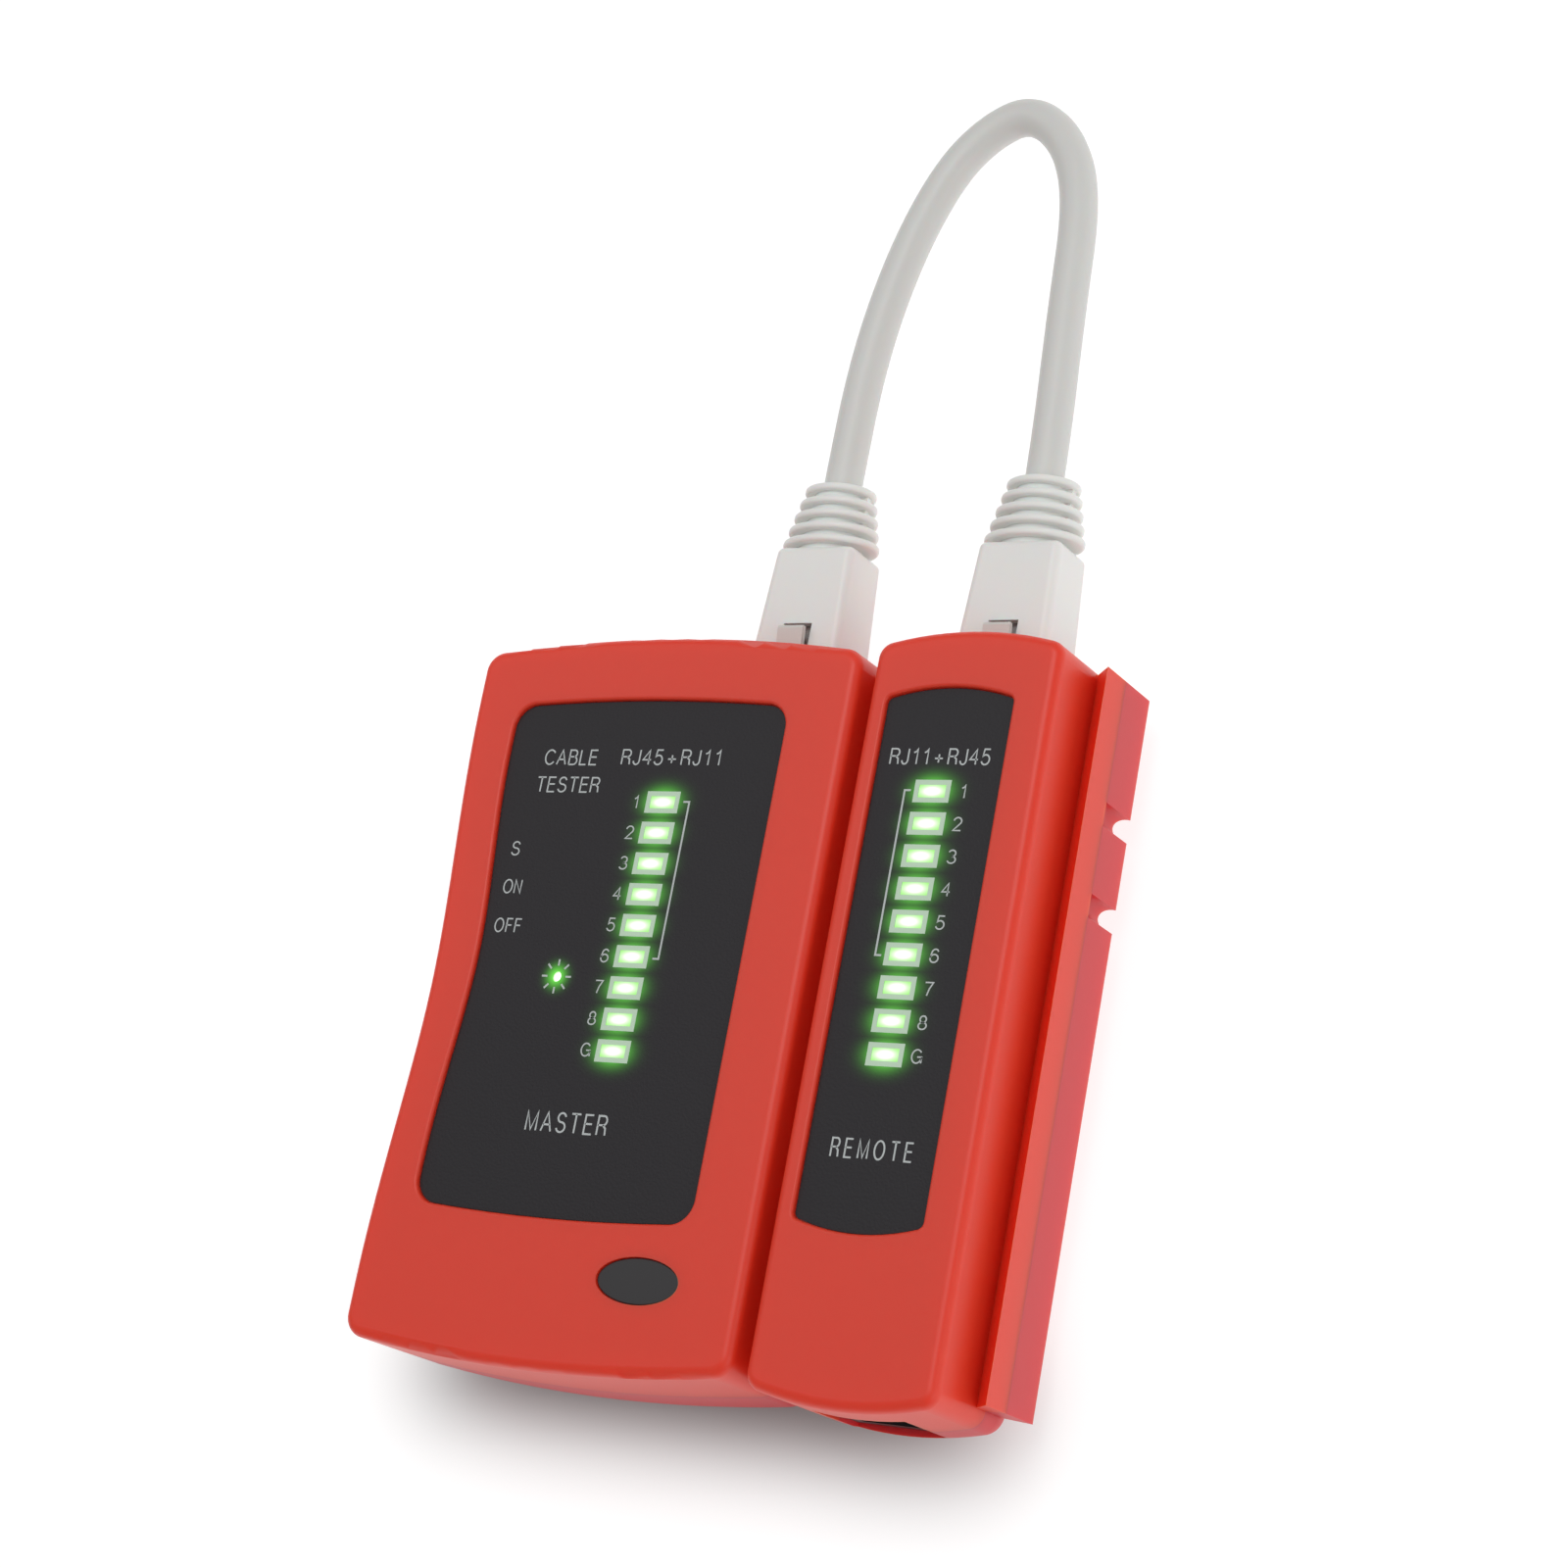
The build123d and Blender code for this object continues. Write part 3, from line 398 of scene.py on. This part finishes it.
# Each letter is a list of strokes in a box one unit high. A ring closes on itself.
LETTERS = {
    "1": [[(0.0, 0.76), (0.16, 0.82), (0.26, 1.0), (0.26, 0.0)]],
    "2": [[*arc(0.28, 0.72, 0.27, 0.28, 172, -38), (0.02, 0.0), (0.57, 0.0)]],
    "3": [[*arc(0.27, 0.76, 0.23, 0.24, 160, -90), *arc(0.27, 0.26, 0.27, 0.26, 90, -164)]],
    "4": [[(0.42, 0.0), (0.42, 0.98), (0.0, 0.32), (0.57, 0.32)]],
    "5": [[(0.52, 1.0), (0.12, 1.0), *arc(0.26, 0.32, 0.28, 0.32, 136, -160)]],
    "6": [ring(0.28, 0.3, 0.27, 0.3), [*arc(0.31, 0.66, 0.24, 0.34, 28, 165), (0.01, 0.34)]],
    "7": [[(0.0, 1.0), (0.54, 1.0), (0.32, 0.52), (0.2, 0.0)]],
    "8": [ring(0.27, 0.75, 0.21, 0.25), ring(0.27, 0.26, 0.27, 0.26)],
    "A": [[(0.0, 0.0), (0.34, 1.0), (0.68, 0.0)], [(0.12, 0.35), (0.56, 0.35)]],
    "B": [
        [(0.0, 0.0), (0.0, 1.0), *arc(0.32, 0.77, 0.22, 0.23, 90, -90), (0.0, 0.54)],
        [*arc(0.34, 0.27, 0.25, 0.27, 90, -90), (0.0, 0.0)],
    ],
    "C": [arc(0.38, 0.5, 0.38, 0.5, 38, 322)],
    "E": [[(0.52, 1.0), (0.0, 1.0), (0.0, 0.0), (0.54, 0.0)], [(0.0, 0.53), (0.49, 0.53)]],
    "F": [[(0.5, 1.0), (0.0, 1.0), (0.0, 0.0)], [(0.0, 0.52), (0.45, 0.52)]],
    "G": [[*arc(0.38, 0.5, 0.38, 0.5, 38, 340), (0.75, 0.46), (0.42, 0.46)], [(0.75, 0.46), (0.75, 0.0)]],
    "J": [[(0.42, 1.0), *arc(0.21, 0.26, 0.21, 0.26, 0, -175)]],
    "L": [[(0.0, 1.0), (0.0, 0.0), (0.48, 0.0)]],
    "M": [[(0.0, 0.0), (0.0, 1.0), (0.36, 0.04), (0.72, 1.0), (0.72, 0.0)]],
    "N": [[(0.0, 0.0), (0.0, 1.0), (0.56, 0.0), (0.56, 1.0)]],
    "O": [ring(0.38, 0.5, 0.38, 0.5)],
    "R": [
        [(0.0, 0.0), (0.0, 1.0), *arc(0.36, 0.76, 0.22, 0.24, 90, -90), (0.0, 0.52)],
        [(0.34, 0.52), (0.54, 0.36), (0.58, 0.0)],
    ],
    "S": [[*arc(0.3, 0.76, 0.26, 0.24, 12, 250), *arc(0.3, 0.26, 0.29, 0.26, 72, -168)]],
    "T": [[(0.0, 1.0), (0.62, 1.0)], [(0.31, 1.0), (0.31, 0.0)]],
    "+": [[(0.0, 0.38), (0.56, 0.38)], [(0.28, 0.11), (0.28, 0.65)]],
}
RING_LETTERS = {"6": 1, "8": 2, "O": 1}
SIDE_ROOM = {"1": 0.12, "+": 0.16}


def text_strokes(text, gap, box):
    """Strokes (points, closed) of a text stretched to fill a box (left, right, bottom, top)."""
    left, right, bottom, top = box
    strokes = []
    pen = 0.0
    for letter in text:
        shapes = LETTERS[letter]
        pen += SIDE_ROOM.get(letter, 0.0)
        for index, points in enumerate(shapes):
            strokes.append(([(x + pen, y) for x, y in points], index < RING_LETTERS.get(letter, 0)))
        pen += max(x for points in shapes for x, y in points) + gap + SIDE_ROOM.get(letter, 0.0)
    first = min(x for points, closed in strokes for x, y in points)
    last = max(x for points, closed in strokes for x, y in points)
    scale = (right - left) / (last - first)
    height = top - bottom
    placed = []
    for points, closed in strokes:
        places = [(left + (x - first) * scale, bottom + y * height) for x, y in points]
        placed.append((places, closed))
    return placed


# ---------------------------------------------------------------- printed pieces
def side_points(points, half, closed):
    """The left and right edges of a stroke, mitred at its corners."""
    count = len(points)
    places = [Vector(point) for point in points]
    edges = []
    for index, place in enumerate(places):
        before = places[index - 1] if closed or index else None
        after = places[(index + 1) % count] if closed or index < count - 1 else None
        into = (place - before).normalized() if before else (after - place).normalized()
        out = (after - place).normalized() if after else into
        across = Vector((-into.y - out.y, into.x + out.x)).normalized()
        reach = half / max(MITRE_LIMIT, across.dot(Vector((-into.y, into.x))))
        edges.append((place + across * reach, place - across * reach))
    return edges


def stroke_mesh(strokes, width, z, thickness):
    """Closed solid of each stroke: constant width, standing on one height."""
    vertices = []
    faces = []
    for points, closed in strokes:
        first = len(vertices)
        for left, right in side_points(points, width / 2, closed):
            vertices += [(*left, z), (*right, z), (*left, z + thickness), (*right, z + thickness)]
        count = len(points)
        for index in range(count if closed else count - 1):
            here = first + 4 * index
            there = first + 4 * ((index + 1) % count)
            faces.append((here + 2, here + 3, there + 3, there + 2))
            faces.append((here, there, there + 1, here + 1))
            faces.append((here, here + 2, there + 2, there))
            faces.append((here + 1, there + 1, there + 3, here + 3))
        if not closed:
            last = first + 4 * (count - 1)
            faces.append((first, first + 1, first + 3, first + 2))
            faces.append((last, last + 2, last + 3, last + 1))
    return vertices, faces


def print_strokes(name, strokes, width, material, unit, z=None, thickness=INK_THICKNESS):
    """A printed piece that rides on its unit's body."""
    mesh = bpy.data.meshes.new(name)
    vertices, faces = stroke_mesh(strokes, width, LABEL_TOP if z is None else z, thickness)
    mesh.from_pydata(vertices, [], faces)
    mesh.materials.append(MATERIALS[material])
    piece = bpy.data.objects.new(name, mesh)
    bpy.context.scene.collection.objects.link(piece)
    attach(piece, unit)


def rectangle(centre, size):
    """Corners of a rectangle, anticlockwise."""
    x, y = size[0] / 2, size[1] / 2
    return [(centre[0] + u * x, centre[1] + v * y) for u, v in ((-1, -1), (1, -1), (1, 1), (-1, 1))]


def print_indicators(unit, column):
    """Each lamp's printed border and the clear window inside it."""
    lamp_x, first_y, pitch, count = column
    middle = [(outer + inner) / 2 for outer, inner in zip(BORDER_OUTER, WINDOW)]
    for index, name in enumerate(LED_NODES):
        y = first_y - pitch * index
        border = [(rectangle((lamp_x, y), middle), True)]
        print_strokes(f"{unit}_border_{name}", border, BORDER_WIDTH, "border_ink", unit)
        half = WINDOW[0] / 2 - WINDOW_GAP
        pane = [([(lamp_x - half, y), (lamp_x + half, y)], False)]
        height = WINDOW[1] - 2 * WINDOW_GAP
        base = LABEL_TOP - WINDOW_DEPTH
        print_strokes(f"{unit}_window_{name}", pane, height, "led_lens", unit, base, WINDOW_DEPTH)


def print_bracket(unit, spine_x, tick_x, y_low, y_high):
    """Line beside the first six indicators, with a short tick at each end."""
    points = [(tick_x, y_high), (spine_x, y_high), (spine_x, y_low), (tick_x, y_low)]
    print_strokes(f"{unit}_bracket", [(points, False)], BRACKET_WIDTH, "ink", unit)


def print_power_rays():
    """Eight short strokes around the power lamp."""
    rays = []
    for index in range(RAY_COUNT):
        direction = Matrix.Rotation(math.radians(360 / RAY_COUNT * index), 2) @ Vector((1, 0))
        centre = Vector((POWER_LAMP.x, POWER_LAMP.y))
        rays.append(([tuple(centre + direction * reach) for reach in RAY_REACH], False))
    print_strokes("master_power_rays", rays, BRACKET_WIDTH, "ink", "master")


def print_legends(unit, legends, column, centre_x):
    """The words of a label, and the numbers beside its indicators."""
    for index, (text, gap, width, *box) in enumerate(legends):
        strokes = text_strokes(text, gap, [value * MM for value in box])
        print_strokes(f"{unit}_legend_{index}", strokes, width * MM, "ink", unit)
    first_y, pitch = column[1:3]
    strokes = []
    for index, text in enumerate(LED_LEGENDS):
        y = first_y - pitch * index
        half = LED_LEGEND_SIZE[0] / 2 * LED_LEGEND_WIDTHS.get(text, 1.0)
        box = (centre_x - half, centre_x + half, y - LED_LEGEND_SIZE[1] / 2, y + LED_LEGEND_SIZE[1] / 2)
        strokes += text_strokes(text, LED_LEGEND_GAP, box)
    print_strokes(f"{unit}_led_legends", strokes, LED_LEGEND_STROKE, "ink", unit)


def print_labels():
    """All the print on both units."""
    print_indicators("master", MASTER_COLUMN)
    print_indicators("remote", REMOTE_COLUMN)
    print_bracket("master", *MASTER_BRACKET)
    print_bracket("remote", *REMOTE_BRACKET)
    print_power_rays()
    print_legends("master", MASTER_LEGENDS, MASTER_COLUMN, MASTER_LEGEND_X)
    print_legends("remote", REMOTE_LEGENDS, REMOTE_COLUMN, REMOTE_LEGEND_X)


# ---------------------------------------------------------------- patch cable
def make_cable():
    """One smooth cable along the route, in place of the CAD model's cable."""
    curve = bpy.data.curves.new("patch_cable_jacket", "CURVE")
    curve.dimensions = "3D"
    curve.bevel_depth = CABLE_DIAMETER / 2
    curve.bevel_resolution = 8
    curve.resolution_u = 24
    curve.use_fill_caps = True
    spline = curve.splines.new("NURBS")
    spline.points.add(len(CABLE_ROUTE) - 1)
    for point, place in zip(spline.points, CABLE_ROUTE):
        point.co = (*[value * MM for value in place], 1.0)
    spline.order_u = 3
    spline.use_endpoint_u = True
    curve.materials.append(MATERIALS["cable_jacket"])
    cable = bpy.data.objects.new("patch_cable_jacket", curve)
    bpy.context.scene.collection.objects.link(cable)
    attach(cable, "patch_cord")
    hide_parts("patch_cable")


# ---------------------------------------------------------------- studio
def add_area_light(name, place, size, power):
    """One rectangular light that points at the tester."""
    light = bpy.data.lights.new(name, "AREA")
    light.shape = "RECTANGLE"
    light.size, light.size_y = size
    light.energy = power
    holder = bpy.data.objects.new(name, light)
    holder.location = place
    direction = Vector(LIGHT_TARGET) - Vector(place)
    holder.rotation_euler = direction.to_track_quat("-Z", "Y").to_euler()
    bpy.context.scene.collection.objects.link(holder)


def add_floor():
    """Evenly lit white table, with a contact shadow painted into its glow along the tester's bottom end.
    """
    bpy.ops.mesh.primitive_plane_add(size=FLOOR_SIZE, location=(0, 0, 0))
    floor = bpy.context.object
    floor.name = "floor"
    paint = plain("floor_paint", FLOOR_COLOUR, 0.8, Emission_Color=(1, 1, 1, 1))
    tree = paint.node_tree
    x, y = place_in_object(tree)
    # Painted shadow: the floor's glow is dimmed in a band along the tester's bottom end.
    across = calc(tree, "SUBTRACT", x, SHADOW_PLACE[0])
    along = calc(tree, "SUBTRACT", y, SHADOW_PLACE[1])
    shade = bell(tree, across, along, *SHADOW_REACH, SHADOW_FLATNESS)
    lit = calc(tree, "SUBTRACT", 1.0, calc(tree, "MULTIPLY", shade, SHADOW_DEPTH))
    glow = calc(tree, "MULTIPLY", lit, FLOOR_GLOW)
    tree.links.new(glow, tree.nodes["surface"].inputs["Emission Strength"])
    floor.data.materials.append(paint)


def add_studio():
    """Floor, even white surroundings, a softbox that the face mirrors, a key and a side light."""
    world = bpy.data.worlds.new("studio")
    world.use_nodes = True
    background = world.node_tree.nodes["Background"]
    background.inputs["Color"].default_value = (1.0, 1.0, 1.0, 1.0)
    background.inputs["Strength"].default_value = SURROUND_STRENGTH
    bpy.context.scene.world = world
    add_floor()
    for name, (place, size, power) in LIGHTS.items():
        add_area_light(name, place, size, power)


def add_camera():
    """Camera at the constants' place, turned so that its picture's up is the one stated."""
    camera = bpy.data.cameras.new("camera")
    camera.lens = CAMERA_LENS
    camera.sensor_width = CAMERA_SENSOR
    camera.clip_start = 0.01
    holder = bpy.data.objects.new("camera", camera)
    back = (Vector(CAMERA_PLACE) - Vector(CAMERA_TARGET)).normalized()
    up = Vector(CAMERA_UP)
    up = (up - up.dot(back) * back).normalized()
    right = up.cross(back)
    turn = Matrix((right, up, back)).transposed().to_4x4()
    holder.matrix_world = Matrix.Translation(CAMERA_PLACE) @ turn
    bpy.context.scene.collection.objects.link(holder)
    bpy.context.scene.camera = holder


dress_cad_nodes()
print_labels()
make_cable()
add_studio()
add_camera()
bpy.context.scene.view_settings.view_transform = "Standard"
